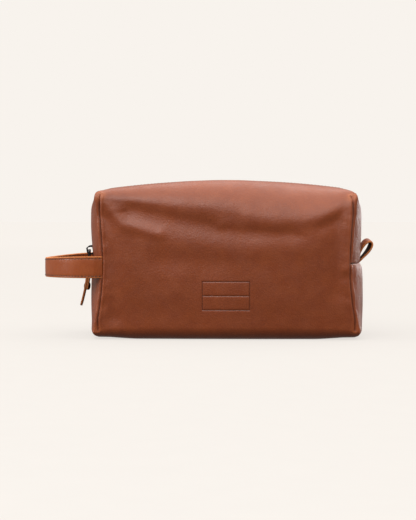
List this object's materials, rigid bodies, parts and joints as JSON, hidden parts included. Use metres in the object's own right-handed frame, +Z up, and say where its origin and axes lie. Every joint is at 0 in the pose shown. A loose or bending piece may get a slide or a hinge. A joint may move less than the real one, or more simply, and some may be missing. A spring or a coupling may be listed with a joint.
{
  "type": "shaving kit bag",
  "caption": "Boxed leather toiletry bag with rounded walls, a zip over its top and down both ends, a stitched strap loop on one end and a small pull tab on the other.",
  "frame": {"origin": "middle of the flat base, between the corner seams", "axes": "+X along the bag towards the pull tab, so the strap and the closed zip's slider are at -X; -Y out of the front wall; +Z up"},
  "size_m": [0.3241, 0.13, 0.15],
  "materials": {
    "body_leather": "smooth pull-up leather, soft sheen",
    "strap_leather": "smooth leather with raw, lighter edges",
    "lining_cloth": "plain woven cotton",
    "zip_tape": "herringbone woven tape",
    "zip_metal": "dark plated metal teeth",
    "dark_metal": "black nickel plating"
  },
  "bodies": {
    "bag_base": {"front_panel": "body_leather", "back_panel": "body_leather", "front_lining": "lining_cloth", "back_lining": "lining_cloth", "slip_pocket": "lining_cloth", "left_end_tapes": "zip_tape", "right_end_tapes": "zip_tape", "left_end_teeth": "zip_metal", "right_end_teeth": "zip_metal", "zip_stops": "zip_metal"},
    "front_mouth": {"front_top_panel": "body_leather", "front_top_lining": "lining_cloth", "front_zip_tape": "zip_tape", "front_zip_teeth": "zip_metal"},
    "back_mouth": {"back_top_panel": "body_leather", "back_top_lining": "lining_cloth", "back_zip_tape": "zip_tape", "back_zip_teeth": "zip_metal"},
    "zip_slider": {"slider_body": "dark_metal"},
    "zip_pull": {"pull_ring": "dark_metal"},
    "puller": {"puller_leather": "strap_leather", "puller_rivet": "dark_metal"},
    "side_strap": {"strap_outer_ply": "strap_leather", "strap_inner_ply": "strap_leather"},
    "pull_tab": {"end_tab": "strap_leather"}
  },
  "joints": [
    {"name": "front_mouth_hinge", "type": "hinge", "parent": "bag_base", "child": "front_mouth", "pos_m": [0, -0.04815, 0.1481], "axis": [1, 0, 0], "range_deg": [0, 70]},
    {"name": "back_mouth_hinge", "type": "hinge", "parent": "bag_base", "child": "back_mouth", "pos_m": [0, 0.04815, 0.1481], "axis": [-1, 0, 0], "range_deg": [0, 70]},
    {"name": "zip_travel", "type": "hinge", "parent": "bag_base", "child": "zip_slider", "pos_m": [0.0485, 0, 0.11], "axis": [0, 1, 0], "range_deg": [0, 11]},
    {"name": "ring_hinge", "type": "hinge", "parent": "zip_slider", "child": "zip_pull", "pos_m": [-0.13421, 0, 0.08228], "axis": [0, 1, 0], "range_deg": [-1, 46]},
    {"name": "puller_hinge", "type": "hinge", "parent": "zip_pull", "child": "puller", "pos_m": [-0.13466, 0, 0.06929], "axis": [0, 1, 0], "range_deg": [-4, 20]},
    {"name": "strap_flex", "type": "hinge", "parent": "bag_base", "child": "side_strap", "pos_m": [-0.1335, 0, 0.068], "axis": [0, -1, 0], "range_deg": [-35, 35], "stiffness_Nm_per_rad": 0.08},
    {"name": "tab_flex", "type": "hinge", "parent": "bag_base", "child": "pull_tab", "pos_m": [0.1292, 0, 0.0703], "axis": [0, 1, 0], "range_deg": [-16, 120], "stiffness_Nm_per_rad": 0.01}
  ]
}
